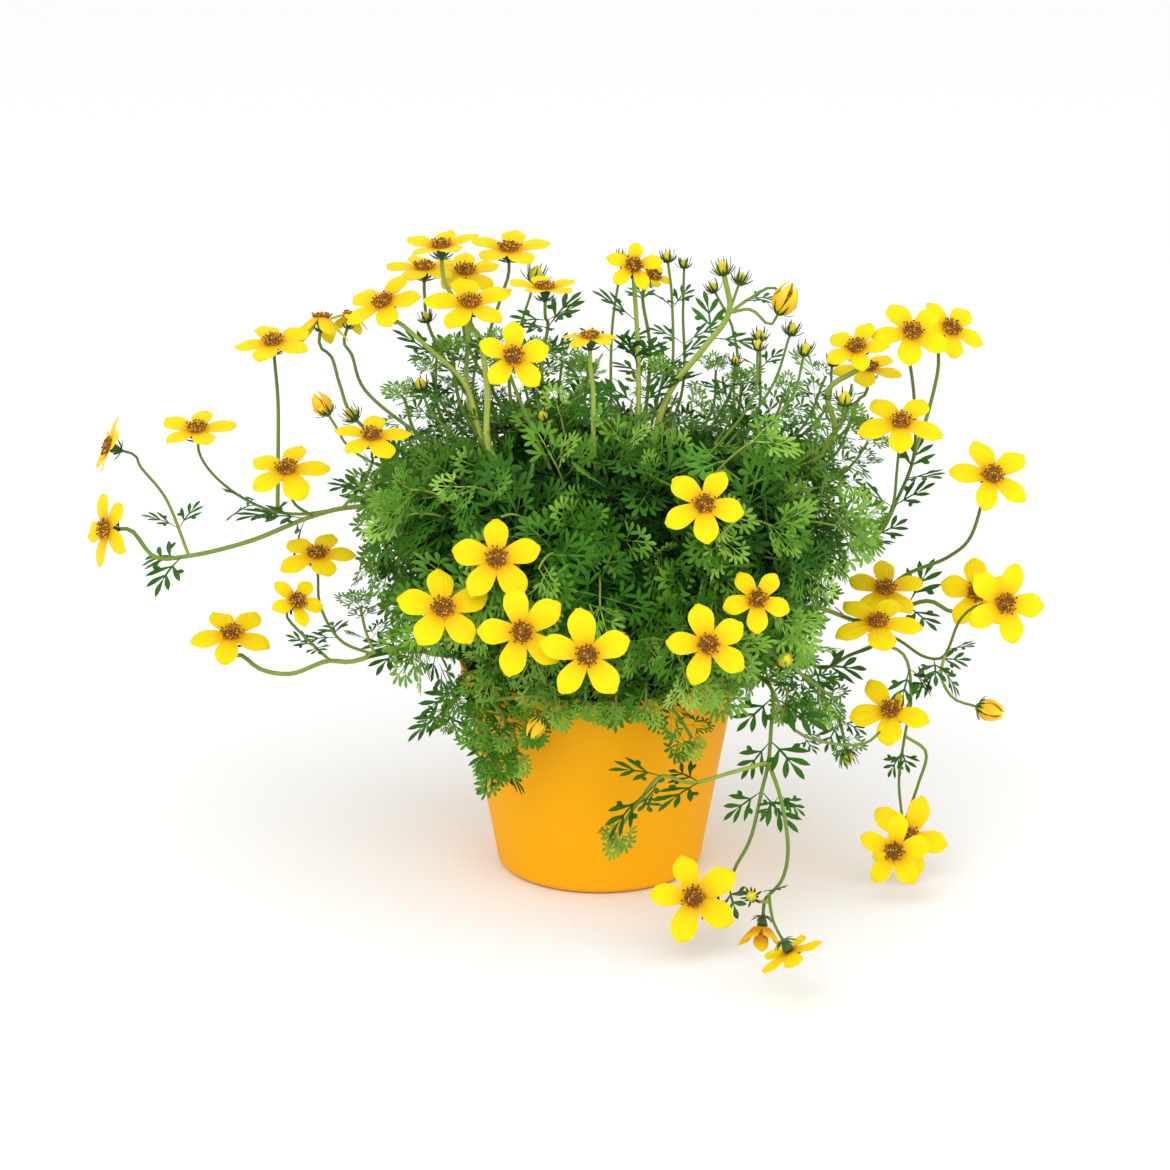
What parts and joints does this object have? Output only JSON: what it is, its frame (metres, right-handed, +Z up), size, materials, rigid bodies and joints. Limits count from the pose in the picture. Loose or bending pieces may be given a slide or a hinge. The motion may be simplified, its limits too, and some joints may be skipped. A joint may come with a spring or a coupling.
{
  "type": "potted flowering plant",
  "caption": "Round tapered plastic pot of compost holding a bushy trailing plant with finely cut leaves and yellow five-petalled blooms on thin arching stems.",
  "frame": {"origin": "middle of the pot's underside, on the surface it stands on", "axes": "+Z up along the pot's axis, -Y towards the plant's front, +X to its right as seen from the front"},
  "size_m": [0.4375, 0.3062, 0.2939],
  "materials": {
    "pot": "satin orange-yellow plastic",
    "compost": "dark, rough, moist compost",
    "foliage": "soft satin green leaf",
    "petals": "soft matte yellow petal"
  },
  "bodies": {
    "root": {"pot": "pot", "soil": "compost", "bush": "foliage", "shoot_left_long": "foliage", "shoot_left_low": "foliage", "shoot_left_rim": "foliage", "shoot_front": "foliage", "shoot_hanging": "foliage", "shoot_right_low": "foliage", "shoot_right": "foliage", "shoot_right_mid": "foliage", "shoot_right_high": "foliage", "shoot_back_left": "foliage", "shoot_back_right": "foliage", "bloom_01": "petals", "bloom_02": "petals", "bloom_03": "petals", "bloom_04": "petals", "bloom_05": "petals", "bloom_06": "petals", "bloom_07": "petals", "bloom_08": "petals", "bloom_09": "petals", "bloom_10": "petals", "bloom_11": "petals", "bloom_12": "petals", "bloom_13": "petals", "bloom_14": "petals", "bloom_15": "petals", "bloom_16": "petals", "bloom_17": "petals", "bloom_18": "petals", "bloom_19": "petals", "bloom_20": "petals", "bloom_21": "petals", "bloom_22": "petals", "bloom_23": "petals", "bloom_24": "petals", "bloom_25": "petals", "bloom_26": "petals", "bloom_27": "petals", "bloom_28": "petals", "bloom_29": "petals", "bloom_30": "petals", "bloom_31": "petals", "bloom_32": "petals", "bloom_33": "petals", "bloom_34": "petals", "bloom_35": "petals", "bloom_36": "petals", "bloom_37": "petals", "bloom_38": "petals", "bloom_39": "petals", "bloom_40": "petals", "bloom_41": "petals", "bloom_42": "petals", "bloom_43": "petals", "bloom_44": "petals", "bloom_45": "petals"}
  },
  "joints": []
}
